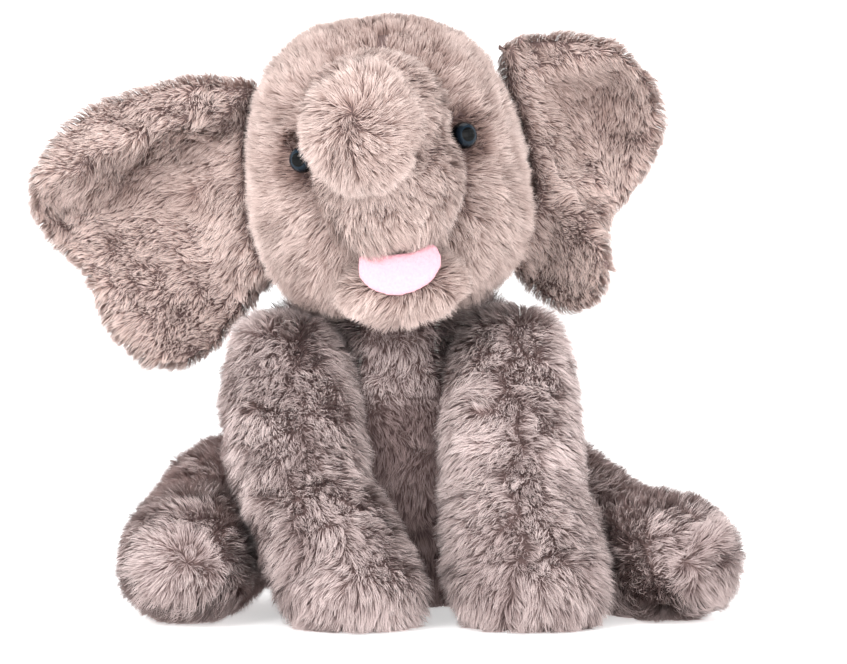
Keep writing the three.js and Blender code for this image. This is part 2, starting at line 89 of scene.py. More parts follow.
cad_low, cad_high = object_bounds()
nodes = frame["nodes"]
scene = bpy.context.scene

# %% [markdown]
# ## Studio
# A white bowl whose floor curves up into its wall, so that no edge shows behind the toy from any side,
# a pale sky for even fill, and large soft lights: a key high on the left and in front, a broad low fill
# near the camera, and a top light for the crown and the ears. The camera looks almost level at the toy's
# face through a long lens, so its paws aren't enlarged.

# %% Camera
CAMERA_AIM = Vector((0.0191, -0.011, 0.1263))
CAMERA_DISTANCE = 1.8
CAMERA_ELEVATION = math.radians(3)
CAMERA_LENS = 170.0

camera = bpy.data.objects.new("camera", bpy.data.cameras.new("camera"))
scene.collection.objects.link(camera)
camera_back = Vector((0, -math.cos(CAMERA_ELEVATION), math.sin(CAMERA_ELEVATION)))
camera.location = CAMERA_AIM + camera_back * CAMERA_DISTANCE
camera.rotation_euler = (-camera_back).to_track_quat("-Z", "Y").to_euler()
camera.data.lens = CAMERA_LENS
scene.camera = camera

# %% Lights, sky and floor
STUDIO_LIGHTS = [
    # name, place, size, watts
    ("key", (-0.75, -1.35, 1.0), 0.7, 16),
    ("fill", (0.6, -1.6, 0.15), 1.6, 14),
    ("top", (0.1, 0.15, 1.5), 0.9, 7),
]
for light_name, place, size, watts in STUDIO_LIGHTS:
    lamp = bpy.data.lights.new(light_name, "AREA")
    lamp.size = size
    lamp.energy = watts
    light = bpy.data.objects.new(light_name, lamp)
    light.location = place
    light.rotation_euler = (CAMERA_AIM - Vector(place)).to_track_quat("-Z", "Y").to_euler()
    scene.collection.objects.link(light)

sky = bpy.data.worlds.new("studio")
sky.use_nodes = True
sky.node_tree.nodes["Background"].inputs["Color"].default_value = (1, 0.995, 0.99, 1)
sky.node_tree.nodes["Background"].inputs["Strength"].default_value = 0.6
scene.world = sky
scene.view_settings.view_transform = "Standard"

# %% White bowl
BOWL_FLOOR = 3.0  # radius of the level floor
BOWL_CURVE = 1.5  # radius of the curve from floor to wall
BOWL_WALL = 2.5

bowl_bm = bmesh.new()
profile = [Vector((0, 0, 0)), Vector((BOWL_FLOOR, 0, 0))]
for i in range(1, 9):
    turn = math.pi / 2 * i / 8
    profile.append(Vector((BOWL_FLOOR + BOWL_CURVE * math.sin(turn), 0, BOWL_CURVE * (1 - math.cos(turn)))))
profile.append(profile[-1] + Vector((0, 0, BOWL_WALL)))
points = [bowl_bm.verts.new(p) for p in profile]
rib = [bowl_bm.edges.new(pair) for pair in zip(points, points[1:])]
bmesh.ops.spin(bowl_bm, geom=points + rib, cent=(0, 0, 0), axis=(0, 0, 1), angle=math.tau, steps=64)
bmesh.ops.remove_doubles(bowl_bm, verts=bowl_bm.verts, dist=1e-5)
bmesh.ops.recalc_face_normals(bowl_bm, faces=bowl_bm.faces)
bowl_mesh = bpy.data.meshes.new("bowl")
bowl_bm.to_mesh(bowl_mesh)
bowl_bm.free()
for polygon in bowl_mesh.polygons:
    polygon.use_smooth = True
bowl = bpy.data.objects.new("bowl", bowl_mesh)
bowl.location = (0, 0, cad_low.z - 0.0003)
scene.collection.objects.link(bowl)

# %% [markdown]
# ## Materials
# A hair is darker where it leaves the cloth and paler at its tip, where the pile is brushed and
# catches the light. Tufts differ a little from each other too. Each hair carries both facts in its
# own UV map: across it, the tone of its tuft; along it, the way from root to tip. One node group
# turns the two into a colour, and the head's warmer fur and the body's cooler fur share it.

# %% Node helpers
FUR_MAP = "OFBake"  # the UV map of every hair: tone across, root to tip along


def material(name, roughness, **constants):
    made = bpy.data.materials.new(name)
    made.use_nodes = True
    bsdf = made.node_tree.nodes["Principled BSDF"]
    bsdf.inputs["Roughness"].default_value = roughness
    for socket, value in constants.items():
        bsdf.inputs[socket.replace("_", " ")].default_value = value
    return made, made.node_tree, bsdf


def colour_mix(tree, factor, first, second):
    """A Mix node. factor, first and second are sockets, numbers or colours."""
    mix = tree.nodes.new("ShaderNodeMix")
    mix.data_type = "RGBA"
    for socket, value in ((mix.inputs[0], factor), (mix.inputs[6], first), (mix.inputs[7], second)):
        if isinstance(value, bpy.types.NodeSocket):
            tree.links.new(value, socket)
        else:
            socket.default_value = value
    return mix.outputs[2]


def rgb(red, green, blue):
    """A colour given as it looks on a screen, 0 to 255, as the linear colour that a shader wants."""
    parts = [c / 255 for c in (red, green, blue)]
    return [c / 12.92 if c <= 0.04045 else ((c + 0.055) / 1.055) ** 2.4 for c in parts] + [1]


# %% The fur's colour group
def make_fur_colour():
    group = bpy.data.node_groups.new("fur colour", "ShaderNodeTree")
    for name in ("Tone", "Along"):
        group.interface.new_socket(name, in_out="INPUT", socket_type="NodeSocketFloat")
    for name in ("Dark root", "Pale root", "Dark tip", "Pale tip"):
        group.interface.new_socket(name, in_out="INPUT", socket_type="NodeSocketColor")
    group.interface.new_socket("Color", in_out="OUTPUT", socket_type="NodeSocketColor")
    ins = group.nodes.new("NodeGroupInput").outputs
    out = group.nodes.new("NodeGroupOutput")
    root = colour_mix(group, ins["Tone"], ins["Dark root"], ins["Pale root"])
    tip = colour_mix(group, ins["Tone"], ins["Dark tip"], ins["Pale tip"])
    ramp = group.nodes.new("ShaderNodeMapRange")
    ramp.interpolation_type = "SMOOTHSTEP"
    ramp.inputs["From Min"].default_value = 0.2
    ramp.inputs["From Max"].default_value = 0.95
    group.links.new(ins["Along"], ramp.inputs["Value"])
    shade = colour_mix(group, ramp.outputs["Result"], root, tip)
    group.links.new(shade, out.inputs["Color"])
    return group


FUR_COLOUR = make_fur_colour()


def fur_material(name, dark_root, pale_root, dark_tip, pale_tip):
    made, tree, bsdf = material(name, 0.75, Specular_IOR_Level=0.25, Sheen_Weight=0.12, Sheen_Roughness=0.5)
    uv = tree.nodes.new("ShaderNodeUVMap")
    uv.uv_map = FUR_MAP
    parts = tree.nodes.new("ShaderNodeSeparateXYZ")
    tree.links.new(uv.outputs["UV"], parts.inputs[0])
    colour = tree.nodes.new("ShaderNodeGroup")
    colour.node_tree = FUR_COLOUR
    tree.links.new(parts.outputs["X"], colour.inputs["Tone"])
    tree.links.new(parts.outputs["Y"], colour.inputs["Along"])
    for socket, value in (("Dark root", dark_root), ("Pale root", pale_root), ("Dark tip", dark_tip),
                          ("Pale tip", pale_tip)):
        colour.inputs[socket].default_value = value
    tree.links.new(colour.outputs["Color"], bsdf.inputs["Base Color"])
    return made


FACE_FUR = fur_material("warm fur", rgb(110, 83, 76), rgb(196, 166, 157),
                        rgb(174, 146, 137), rgb(250, 230, 223))
BODY_FUR = fur_material("cool fur", rgb(98, 77, 75), rgb(188, 164, 160),
                        rgb(168, 145, 142), rgb(248, 231, 228))


# %% Backing cloth, stuffing, eyes, tongue and label
def speckled(name, roughness, scale, dark, pale, bump=0.0, **constants):
    """A cloth whose colour wanders between two shades, with a fine bump if one is asked for."""
    made, tree, bsdf = material(name, roughness, **constants)
    coords = tree.nodes.new("ShaderNodeTexCoord")
    grain = tree.nodes.new("ShaderNodeTexNoise")
    grain.inputs["Scale"].default_value = scale
    grain.inputs["Detail"].default_value = 6
    tree.links.new(coords.outputs["Object"], grain.inputs["Vector"])
    tree.links.new(colour_mix(tree, grain.outputs["Fac"], dark, pale), bsdf.inputs["Base Color"])
    if bump:
        relief = tree.nodes.new("ShaderNodeBump")
        relief.inputs["Distance"].default_value = bump
        tree.links.new(grain.outputs["Fac"], relief.inputs["Height"])
        tree.links.new(relief.outputs["Normal"], bsdf.inputs["Normal"])
    return made


BACKING = speckled("fur backing", 0.95, 260, rgb(86, 66, 64), rgb(128, 106, 103))
FIBRE = speckled("polyester fibre", 1.0, 180, rgb(222, 220, 214), rgb(248, 247, 243), 0.001)
NYLON = speckled("black nylon", 0.5, 300, rgb(20, 20, 22), rgb(36, 36, 38))
MINKY = speckled("pink minky", 0.9, 900, rgb(229, 156, 170), rgb(246, 190, 200), 0.0004, Sheen_Weight=0.15)
SATIN = speckled("satin tape", 0.6, 700, rgb(232, 230, 224), rgb(250, 249, 245), 0.0001)

# %% [markdown]
# ## Soft skins
# Each bag of fur is really several cut panels sewn edge to edge and blown up by its stuffing. The
# panels and the stuffing of one bag are joined, remeshed as one closed skin, and given to the cloth
# solver with a little air pressure, which swells them between the seams as stuffing does. How far a
# point may move is capped, so that the toy keeps its size.

# %% Skins
VOXEL = 0.0045
FINE_VOXEL = 0.003
SWELL_CAP = 0.0025
SWELL_FRAMES = 14


def mesh_object(name, bm):
    mesh = bpy.data.meshes.new(name)
    bm.to_mesh(mesh)
    bm.free()
    made = bpy.data.objects.new(name, mesh)
    scene.collection.objects.link(made)
    return made


def bake_modifiers(obj):
    """Writes the modifiers into the mesh and takes them off."""
    settled = bpy.data.meshes.new_from_object(obj.evaluated_get(bpy.context.evaluated_depsgraph_get()))
    obj.modifiers.clear()
    obj.data = settled
    return obj


def remesh(obj, size):
    voxels = obj.modifiers.new("voxels", "REMESH")
    voxels.mode = "VOXEL"
    voxels.voxel_size = size
    return bake_modifiers(obj)


def smooth(obj, rounds, factor=0.5):
    bm = bmesh.new()
    bm.from_mesh(obj.data)
    for _ in range(rounds):
        bmesh.ops.smooth_vert(bm, verts=bm.verts, factor=factor,
                              use_axis_x=True, use_axis_y=True, use_axis_z=True)
    bm.to_mesh(obj.data)
    bm.free()
    return obj


def drop_crumbs(obj):
    """Keeps the largest connected piece, since remeshing leaves crumbs at a thin corner."""
    bm = bmesh.new()
    bm.from_mesh(obj.data)
    left = set(bm.verts)
    islands = []
    while left:
        island = []
        front = [left.pop()]
        while front:
            vert = front.pop()
            island.append(vert)
            fresh = {edge.other_vert(vert) for edge in vert.link_edges} & left
            left -= fresh
            front += fresh
        islands.append(island)
    islands.sort(key=len)
    for crumb in islands[:-1]:
        bmesh.ops.delete(bm, geom=crumb, context="VERTS")
    bm.to_mesh(obj.data)
    bm.free()
    return obj


def vertices_of(mesh):
    places = np.empty(len(mesh.vertices) * 3)
    mesh.vertices.foreach_get("co", places)
    return places.reshape(-1, 3)


def put_vertices(mesh, places):
    mesh.vertices.foreach_set("co", places.ravel())
    mesh.update()


def swell(obj, pressure):
    """Blows the skin up a little as cloth, and caps how far each point may go."""
    before = vertices_of(obj.data)
    cloth = obj.modifiers.new("cloth", "CLOTH")
    cloth.settings.use_pressure = True
    cloth.settings.uniform_pressure_force = pressure
    cloth.settings.effector_weights.gravity = 0
    cloth.settings.quality = 5
    cloth.point_cache.frame_end = SWELL_FRAMES
    for step in range(1, SWELL_FRAMES + 1):
        scene.frame_set(step)
    bake_modifiers(obj)
    scene.frame_set(1)
    after = vertices_of(obj.data)
    moved = after - before
    reach = np.linalg.norm(moved, axis=1, keepdims=True)
    put_vertices(obj.data, before + moved * np.minimum(1, SWELL_CAP / np.maximum(reach, 1e-9)))
    print(obj.name, "swelled by up to", round(float(reach.max()) * 1000, 1), "mm before the cap")
    return obj


def skin_of(name, members, shrink, size=VOXEL, rounds=3, pressure=3.0):
    """One closed skin round the CAD nodes listed, a little inside them to leave room for the pile."""
    bm = bmesh.new()
    for member in members:
        bm.from_mesh(nodes[member].data)
    bmesh.ops.remove_doubles(bm, verts=bm.verts, dist=1e-6)
    skin = drop_crumbs(remesh(mesh_object(name, bm), size))
    smooth(skin, rounds)
    swell(skin, pressure)
    smooth(skin, 1)
    normals = np.empty(len(skin.data.vertices) * 3)
    skin.data.vertex_normals.foreach_get("vector", normals)
    places = vertices_of(skin.data) - normals.reshape(-1, 3) * shrink
    places[:, 2] = np.maximum(places[:, 2], cad_low.z + 0.0006)
    put_vertices(skin.data, places)
    skin.data.materials.clear()
    skin.data.materials.append(BACKING)
    for polygon in skin.data.polygons:
        polygon.use_smooth = True
    print(name, len(skin.data.polygons), "faces")
    return skin


def furred_nodes(body):
    """The fur nodes of a body, without its stuffing and hard pieces."""
    fur_slots = {"face_fur", "body_fur"}
    return [part["node"] for part in frame["record"]["subparts"]
            if part["material_slot"] in fur_slots and nodes[part["node"]]["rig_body"] == body]


BODIES = list(frame["bodies"])
LIP = "lower_lip"
SHRINK = {"torso": 0.002, "head": 0.003, "trunk": 0.003, "right_ear": 0.002, "left_ear": 0.002, "tail": 0.001}
LEG_SHRINK = 0.0012
skins = {}
for body in BODIES:
    fur_nodes = [n for n in furred_nodes(body) if n != LIP]
    stuffing = [n for n in nodes if n.endswith("_stuffing") and nodes[n]["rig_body"] == body]
    voxel = FINE_VOXEL if body in ("tail", "trunk", "right_ear", "left_ear") else VOXEL
    skin = skin_of(body + "_skin", fur_nodes + stuffing, SHRINK.get(body, LEG_SHRINK), voxel)
    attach(skin, body)
    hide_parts(*fur_nodes)
    skins[body] = skin

skins["lip"] = skin_of("lip_skin", [LIP], 0.002, 0.003)
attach(skins["lip"], "head")
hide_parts(LIP)

# %% [markdown]
# ## Fur
# The fur is the toy's whole look, so it is real geometry and not a texture. No mesh operator grows
# hair, and a particle system would be lost when the model is exported, so the hairs are computed as
# arrays: each is a narrow curved blade of one quad and one triangle. Roots are scattered over a skin.
# A comb, one function for each part of the toy, says which way the pile lies and how long it is
# there. Hairs that share a tuft lean to the tuft's tip, and that makes the clumps and the dark gaps
# between them that real plush has.

# %% Scatter roots on a skin
RANDOM_SEED = 11


def sample_skin(obj, density, rng, per_vertex):
    """Points spread evenly over a skin, density to the square metre, with their normals and a value
    carried over from the vertices."""
    mesh = obj.data
    mesh.calc_loop_triangles()
    corners = np.empty(len(mesh.loop_triangles) * 3, np.int64)
    mesh.loop_triangles.foreach_get("vertices", corners)
    corners = corners.reshape(-1, 3)
    places = vertices_of(mesh)
    normals = np.empty(len(mesh.vertices) * 3)
    mesh.vertex_normals.foreach_get("vector", normals)
    normals = normals.reshape(-1, 3)
    a, b, c = places[corners[:, 0]], places[corners[:, 1]], places[corners[:, 2]]
    area = np.linalg.norm(np.cross(b - a, c - a), axis=1) / 2
    count = int(area.sum() * density)
    chosen = rng.choice(len(area), count, p=area / area.sum())
    u, v = rng.random((2, count))
    flip = u + v > 1
    u[flip], v[flip] = 1 - u[flip], 1 - v[flip]
    w = 1 - u - v
    mix = np.stack([w, u, v], 1)[:, :, None]
    roots = (places[corners[chosen]] * mix).sum(1)
    ups = unit((normals[corners[chosen]] * mix).sum(1))
    depths = (per_vertex[corners[chosen]] * mix[:, :, 0]).sum(1)
    return roots, ups, depths


def unit(vectors):
    return vectors / np.maximum(np.linalg.norm(vectors, axis=-1, keepdims=True), 1e-9)


def flat_on(ups, directions):
    """The part of each direction that lies in the surface."""
    return directions - ups * (directions * ups).sum(1, keepdims=True)


def tree_of(*objects):
    """One tree of the faces of all the objects, for looking up the nearest cloth."""
    places, polygons = [], []
    for obj in objects:
        start = len(places)
        places += [v.co.copy() for v in obj.data.vertices]
        polygons += [tuple(i + start for i in p.vertices) for p in obj.data.polygons]
    return BVHTree.FromPolygons(places, polygons)


def depth_inside(points, tree, limit):
    """How deep each point is inside a closed skin, in metres, or under 0 outside, looking as far as limit."""
    depths = np.full(len(points), -limit)
    for i, point in enumerate(points):
        found, normal, _, distance = tree.find_nearest(Vector(point), limit)
        if found is not None:
            depths[i] = distance if (Vector(point) - found).dot(normal) < 0 else -distance
    return depths


# %% [markdown]
# Where two bags press together, or a fold shades itself, the hairs are given painted shade: a darker
# tone that stands in for the shade of the crevice. A skin's own shape tells where: from each of its points,
# short rays look for other cloth. More hits mean a narrower crevice. It is measured once, and every hair
# there is painted darker.

# %% Find the crevices
LOOK_RAYS = 20
LOOK_REACH = 0.045


def crevices(skin, everything):
    """0 in the open to 1 deep in a crevice, for each vertex of a skin."""
    rng = np.random.default_rng(RANDOM_SEED)
    directions = unit(rng.normal(size=(LOOK_RAYS, 3)))
    normals = np.empty(len(skin.data.vertices) * 3)
    skin.data.vertex_normals.foreach_get("vector", normals)
    found = np.zeros(len(skin.data.vertices))
    for i, (place, up) in enumerate(zip(vertices_of(skin.data), normals.reshape(-1, 3))):
        start = Vector(place + up * 0.004)
        for direction in directions:
            way = Vector(unit(direction + up * 1.05))
            hit = everything.ray_cast(start, way, LOOK_REACH)
            if hit[0] is not None:
                found[i] += 1 - hit[3] / LOOK_REACH
    return found / LOOK_RAYS


# %% Smooth random fields
def wander(points, size, seed):
    """A smooth random vector at each point, each part about -1 to 1, that changes over the size given."""
    rng = np.random.default_rng(seed)
    total = np.zeros((len(points), 3))
    for _ in range(8):
        wave = rng.normal(size=3) * 2 / size
        total += np.sin((points @ wave)[:, None] + rng.uniform(0, math.tau, 3))
    return total / 2.8


def smoothstep(values, start, end):
    t = np.clip((values - start) / (end - start), 0, 1)
    return t * t * (3 - 2 * t)


# %% Grow hairs
HAIR_WIDTH = 0.00028 * 1.0
# how much painted shade a hair deep in a crevice gets
CREVICE_SHADE = 0.38
TONE_WIDTH = 0.006
FUR_PIECE_HAIRS = 66000
BIG_TUFTS = 2.8  # how much wider a big tuft is than a small one


def nearest_guides(roots, spacing, area, rng):
    """Picks guide hairs about a spacing apart, and gives each root its nearest one."""
    guides = rng.choice(len(roots), max(4, int(area / spacing**2)), replace=False)
    finder = KDTree(len(guides))
    for i, g in enumerate(guides):
        finder.insert(roots[g], i)
    finder.balance()
    return guides, guides[[finder.find(p)[1] for p in roots]]


def grow(name, skin, comb, density, tuft, crevice, keep=None):
    """Hairs on a skin, as arrays. comb(roots, ups) gives the way the pile lies, its length, how flat it
    lies and a change of tone."""
    rng = np.random.default_rng(RANDOM_SEED + sum(map(ord, name)))
    roots, ups, occlusion = sample_skin(skin, density, rng, crevice)
    if keep is not None:
        kept = keep(roots, ups)
        roots, ups, occlusion = roots[kept], ups[kept], occlusion[kept]
    count = len(roots)
    ways, lengths, lay, shade = comb(roots, ups)
    swirl = wander(roots, 0.03, 5) * 0.3 + wander(roots, 0.011, 6) * 0.25
    ways = unit(flat_on(ups, unit(ways) + swirl))
    lay = lay * (1 + 0.35 * wander(roots, 0.014, 7)[:, 0])
    lengths = lengths * (1 + 0.16 * wander(roots, 0.009, 8)[:, 0])

    own_way = unit(ups + ways * lay[:, None] + rng.normal(size=(count, 3)) * 0.2)
    own_long = lengths * rng.uniform(0.62, 1.1, count)
    tips = roots + own_way * own_long[:, None]
    tuft_tone = np.zeros(count)
    pulls = np.zeros(count)
    for spacing, strength in ((tuft * BIG_TUFTS, 0.3), (tuft, 0.55)):
        guides, nearest = nearest_guides(roots, spacing, count / density, rng)
        of_guide = np.zeros(count)
        of_guide[guides] = rng.uniform(0.2, 1.0, len(guides))
        pull = strength * of_guide[nearest] * rng.uniform(0.7, 1.1, count)
        tips = tips * (1 - pull[:, None]) + tips[nearest] * pull[:, None]
        of_guide[guides] = rng.normal(size=len(guides))
        tuft_tone += of_guide[nearest] * 0.07
        pulls = np.maximum(pulls, pull)
    middles = roots + unit(own_way + ups * 0.6) * (own_long * 0.5)[:, None]
    middles += (tips - roots - own_way * own_long[:, None]) * 0.3
    for points in (roots, middles, tips):
        points[:, 2] = np.maximum(points[:, 2], cad_low.z + 0.0003)

    along = unit(tips - roots)
    across = unit(np.cross(along, ups) + 1e-6)
    roll = rng.normal(size=(count, 1)) * 0.6
    across = across * np.cos(roll) + np.cross(along, across) * np.sin(roll)
    half = HAIR_WIDTH / 2 * rng.uniform(0.7, 1.3, (count, 1))
    blades = np.stack([roots - across * half, roots + across * half, middles - across * half * 0.8,
                       middles + across * half * 0.8, tips], 1)
    patches = wander(roots, 0.03, 9)[:, 0] * 0.08 + wander(roots, 0.008, 10)[:, 0] * 0.07
    # painted shade: hairs deep in a crevice take a darker tone, standing in for the shade there
    crevice_shade = smoothstep(occlusion, 0.12, 0.6) * CREVICE_SHADE
    tones = 0.58 + shade - crevice_shade + tuft_tone + patches + rng.normal(size=count) * 0.09
    glow = unit(ups + unit(np.cross(across, along)) * 0.25 + wander(roots, 0.005, 12) * 0.12)
    print(name, count, "hairs")
    return blades, np.clip(tones, 0.01, 0.99), glow


def hair_object(name, blades, tones, glow, body, finish):
    """One piece of fur from hair arrays. Its shading follows the skin below, as a soft pile's does."""
    count = len(blades)
    mesh = bpy.data.meshes.new(name)
    mesh.vertices.add(count * 5)
    mesh.vertices.foreach_set("co", blades.astype(np.float32).ravel())
    first = (np.arange(count) * 5)[:, None]
    corners = (first + np.array([0, 1, 3, 2, 2, 3, 4])).ravel()
    mesh.loops.add(count * 7)
    mesh.loops.foreach_set("vertex_index", corners.astype(np.int32))
    mesh.polygons.add(count * 2)
    starts = ((np.arange(count) * 7)[:, None] + np.array([0, 4])).ravel()
    mesh.polygons.foreach_set("loop_start", starts.astype(np.int32))
    mesh.polygons.foreach_set("use_smooth", np.ones(count * 2, bool))
    hair_map = mesh.uv_layers.new(name=FUR_MAP)
    left, right = tones - TONE_WIDTH / 2, tones + TONE_WIDTH / 2
    root, middle, tip = (np.full(count, v) for v in (0.02, 0.5, 0.98))
    quad = [left, root, right, root, right, middle, left, middle]
    triangle = [left, middle, right, middle, tones, tip]
    uv = np.stack(quad + triangle, 1)
    hair_map.data.foreach_set("uv", uv.astype(np.float32).ravel())
    mesh.materials.append(finish)
    mesh.update(calc_edges=True)
    mesh.normals_split_custom_set_from_vertices(np.repeat(glow, 5, axis=0))
    made = bpy.data.objects.new(name, mesh)
    scene.collection.objects.link(made)
    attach(made, body)
    return made


def fur_pieces(name, body, finish, blades, tones, glow):
    """Splits hair arrays from side to side into pieces that stay under the limit."""
    ranked = np.argsort(blades[:, 0, 0], kind="stable")
    share = math.ceil(len(ranked) / FUR_PIECE_HAIRS)
    for i, part in enumerate(np.array_split(ranked, share)):
        suffix = "" if share == 1 else "_%d" % (i + 1)
        hair_object(name + suffix, blades[part], tones[part], glow[part], body, finish)


# %% [markdown]
# ## Combs
# On the head the pile is brushed out from the root of the trunk, back over the crown and down the
# cheeks. On a limb it runs down towards the paw, and at a paw's end it opens like a rosette. On an ear
# it runs out to the rim. On the trunk's round end it turns in a whorl.

# %% Landmarks from the frame
def middle_of(node):
    low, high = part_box(node)
    return (low + high) / 2


right_eye, left_eye = middle_of("right_eye"), middle_of("left_eye")
tongue_middle = middle_of("tongue")
trunk_end = middle_of("trunk_end_panel")
trunk_joint = next(j for j in frame["joints"] if j["child"] == "trunk")
trunk_root = np.array(trunk_joint["pos_m"])
print("eyes", tuple(right_eye), tuple(left_eye), "trunk root", trunk_root)

DOWN = np.array([0.0, 0.0, -1.0])
FRONT = np.array([0.0, -1.0, 0.0])


def near(points, place, radius):
    """1 at a place, falling to 0 at the radius."""
    return np.clip(1 - np.linalg.norm(points - np.array(place), axis=1) / radius, 0, 1)


def level(roots, value):
    return np.full(len(roots), value)


def comb_head(roots, ups):
    gusset_low, gusset_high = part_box("head_crown_gusset")
    from_trunk = unit(roots - trunk_root)
    below = smoothstep(roots[:, 2:3], trunk_root[2] + 0.01, trunk_root[2] - 0.02)
    ways = from_trunk + DOWN * 0.6 * below
    in_gusset = smoothstep(np.abs(roots[:, 0] - (gusset_low.x + gusset_high.x) / 2), 0.03, 0.02)
    crown = in_gusset * smoothstep(roots[:, 2], trunk_root[2] + 0.03, trunk_root[2] + 0.045)
    lengths = 0.0076 - 0.0018 * crown + 0.002 * below[:, 0]
    lay = 0.5 - 0.2 * crown
    shade = -0.3 * crown - 0.04
    for eye in (right_eye, left_eye):
        by_eye = smoothstep(near(roots, eye, 0.02), 0.15, 0.6)
        ways = ways * (1 - by_eye[:, None]) + unit(roots - np.array(eye)) * by_eye[:, None]
        lengths = lengths * (1 - 0.12 * by_eye)
        lay = lay * (1 - 0.8 * by_eye)
        # painted shade: the pile round each eye is painted darker, as the shade in the eye's recess
        shade = shade - 0.55 * by_eye
    return ways, lengths, lay, shade


def comb_trunk(roots, ups):
    outwards = roots - np.array(trunk_end)
    outwards[:, 1] = 0
    whorl = np.cross(FRONT, outwards)
    by_end = near(roots, trunk_end, 0.045)[:, None]
    ways = unit(outwards) * (0.5 + by_end) + unit(whorl) * 0.9 * by_end + DOWN * 0.35 * (1 - by_end)
    over_mouth = smoothstep(roots[:, 2], trunk_root[2] - 0.012, trunk_root[2] - 0.03)
    ways = ways + DOWN * over_mouth[:, None]
    by_corner = smoothstep(np.abs(roots[:, 0] - tongue_middle[0]), 0.007, 0.016)
    lengths = 0.0066 + 0.0012 * by_end[:, 0] + over_mouth * (0.003 + 0.0045 * by_corner)
    return ways, lengths, 0.5 + 0.3 * over_mouth, 0.06 + 0.1 * by_end[:, 0]


def comb_lip(roots, ups):
    from_tongue = unit(roots - np.array(tongue_middle))
    parting = np.sign(roots[:, 0:1] - tongue_middle[0]) * np.array([0.7, 0.0, 0.0])
    return from_tongue + DOWN * 0.8 + parting, level(roots, 0.0095), level(roots, 0.8), level(roots, 0.1)


def comb_leg(leg, seam=None):
    """Down the leg to its end, splayed where it meets the floor, and out from the middle of the sole."""
    end_low, end_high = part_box(leg + "_sole")
    end = np.array((end_low + end_high) / 2)
    low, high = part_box(leg + "_inner_panel")
    start = np.array((low + high) / 2)
    axis = DOWN if "fore" in leg else unit((end - start) * np.array([1, 1, 0]))

    def comb(roots, ups):
        capped = smoothstep(ups @ axis, 0.45, 0.9)[:, None]
        ways = axis * (1 - capped) + unit(roots - end) * capped + DOWN * 0.3
        by_floor = smoothstep(roots[:, 2], 0.028, 0.006)
        # painted light: the pile is painted paler higher up each leg
        shade = 0.2 * smoothstep(roots[:, 2], 0.03, 0.07)
        if seam is not None:
            wavy = roots[:, 0] - seam + 0.003 * np.sin(roots[:, 2] * 130) + 0.002 * np.sin(roots[:, 2] * 310)
            by_seam = smoothstep(np.abs(wavy), 0.008, 0.001)
            ways = ways + np.sign(wavy)[:, None] * np.array([0.9, 0.0, 0.0]) * by_seam[:, None]
            shade = shade - 0.3 * by_seam
        return ways, 0.0088 + 0.003 * by_floor, 0.62 + 0.35 * by_floor, shade

    return comb


def comb_torso(roots, ups):
    """Down the chest and the back, with painted shade on the belly under the chest, and long and upright on
    the shoulders by the neck.
    """
    # painted shade: the front of the lower belly, under the overhanging chest, is painted darker
    belly = smoothstep(roots[:, 2], 0.104, 0.088) * smoothstep(-ups[:, 1], 0.1, 0.5)
    shoulder = smoothstep(roots[:, 2], 0.118, 0.13)
    ways = np.tile(DOWN, (len(roots), 1)) + 2 * ups * shoulder[:, None]
    return ways, 0.0092 + 0.006 * shoulder, 0.65 - 0.45 * shoulder, 0.15 - 0.85 * belly - 0.3 * shoulder


def comb_ear(body, sign):
    """Out and down over the ear, longer and hanging forward where the ear curls over."""
    low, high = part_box(body + "_front")
    root_x = high.x if sign < 0 else low.x
    reach = high.x - low.x

    def comb(roots, ups):
        out = np.clip(np.abs(roots[:, 0] - root_x) / reach, 0, 1)
        edge = smoothstep(np.abs(ups[:, 1]), 0.75, 0.35)
        deep = smoothstep(roots[:, 1], low.y + 0.3 * (high.y - low.y), high.y)
        deep = deep * smoothstep(-ups[:, 1], 0.0, 0.4)
        deep = deep * smoothstep(roots[:, 2], (low.z + high.z) / 2 - 0.01, (low.z + high.z) / 2 + 0.02)
        ways = np.tile(np.array([sign * 0.7, -0.1, -0.6]), (len(roots), 1))
        ways = ways + edge[:, None] * np.array([sign * 0.3, -0.6, -0.3])
        lengths = 0.006 + 0.001 * out + 0.002 * edge
        # painted light and shade: the rim (edge) is painted a little paler, and the hollow under the curl
        # (deep) darker
        return ways, lengths, 0.8 + 0.1 * edge, 0.32 + 0.08 * edge - 0.6 * deep

    return comb


def comb_tail(roots, ups):
    return np.tile(DOWN, (len(roots), 1)), level(roots, 0.007), level(roots, 1.0), level(roots, 0.0)


# %% Grow every coat
DENSITY = 2.4e6 * 1.0
BURIED = 0.006  # roots deeper than this in a neighbour are never seen

trees = {part: tree_of(skin) for part, skin in skins.items()}
all_skins = tree_of(*skins.values())
CREVICES = {part: crevices(skin, all_skins) for part, skin in skins.items()}


def clear_of(*others):
    """Keeps the roots that no neighbour's skin has swallowed."""

    def keep(roots, ups):
        kept = np.ones(len(roots), bool)
        for other in others:
            kept &= depth_inside(roots, trees[other], 0.03) < BURIED
        return kept

    return keep


LEGS = ["right_foreleg", "left_foreleg", "right_hindleg", "left_hindleg"]
SEAMS = {"right_foreleg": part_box("right_foreleg_outer_panel")[1].x,
         "left_foreleg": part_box("left_foreleg_outer_panel")[0].x}
COATS = [
    # part, body, comb, density share, tuft size, neighbours that can swallow roots, slot
    ("head", "head", comb_head, 1.25, 0.0024, ["torso", "trunk", "lip"], "face_fur"),
    ("trunk", "trunk", comb_trunk, 1.35, 0.0026, ["head"], "face_fur"),
    ("lip", "head", comb_lip, 1.3, 0.003, ["head", "trunk"], "face_fur"),
    ("right_ear", "right_ear", comb_ear("right_ear", -1), 1.15, 0.0026, [], "face_fur"),
    ("left_ear", "left_ear", comb_ear("left_ear", 1), 1.15, 0.0026, [], "face_fur"),
    ("torso", "torso", comb_torso, 0.9, 0.0034, LEGS + ["head"], "body_fur"),
    ("tail", "tail", comb_tail, 1.0, 0.003, ["torso"], "body_fur"),
]
for leg in LEGS:
    COATS.append((leg, leg, comb_leg(leg, seam=SEAMS.get(leg)), 1.15, 0.0034, ["torso"], "body_fur"))

